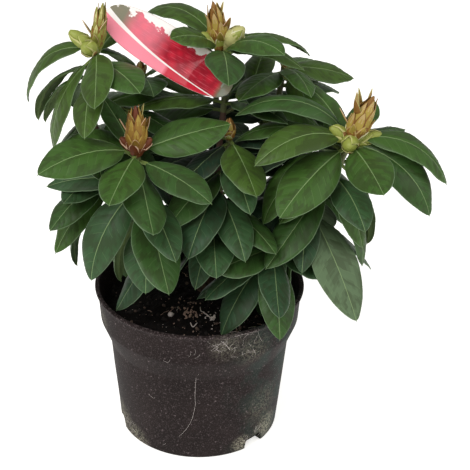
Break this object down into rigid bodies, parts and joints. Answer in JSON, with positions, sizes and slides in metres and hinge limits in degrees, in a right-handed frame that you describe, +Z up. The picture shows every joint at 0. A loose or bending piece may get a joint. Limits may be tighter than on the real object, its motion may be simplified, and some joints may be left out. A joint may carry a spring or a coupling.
{
  "type": "potted shrub",
  "caption": "Young evergreen rhododendron in bud, with whorls of long leathery leaves, in a round black nursery pot filled with peat, with an oval care card lying on its leaves.",
  "frame": {"origin": "middle of the pot's flat underside, where it stands on the ground", "axes": "+Z up the plant; -Y towards the side seen in the picture; +X to the right as seen from there"},
  "size_m": [0.3628, 0.2856, 0.4074],
  "materials": {
    "nursery_pot_plastic": "matt, dusty",
    "peat": "moist, crumbly",
    "young_bark": "dull, finely cracked",
    "rhododendron_foliage": "leathery, soft sheen",
    "printed_card": "glossy print"
  },
  "bodies": {
    "root": {"pot": "nursery_pot_plastic", "peat": "peat", "trunk": "young_bark", "bough_middle": "young_bark", "bough_left": "young_bark", "bough_right": "young_bark", "bough_front": "young_bark", "bough_left_front": "young_bark", "bough_low_front": "young_bark", "bough_upper_right": "young_bark", "bough_back_left": "young_bark", "bough_back": "young_bark", "bough_back_right": "young_bark", "shoot_upper_left": "rhododendron_foliage", "shoot_upper_middle": "rhododendron_foliage", "shoot_right": "rhododendron_foliage", "shoot_left_front": "rhododendron_foliage", "shoot_centre": "rhododendron_foliage", "shoot_low_front": "rhododendron_foliage", "shoot_upper_right": "rhododendron_foliage", "shoot_back_left": "rhododendron_foliage", "shoot_back": "rhododendron_foliage", "shoot_back_right": "rhododendron_foliage", "care_card": "printed_card"}
  },
  "joints": []
}
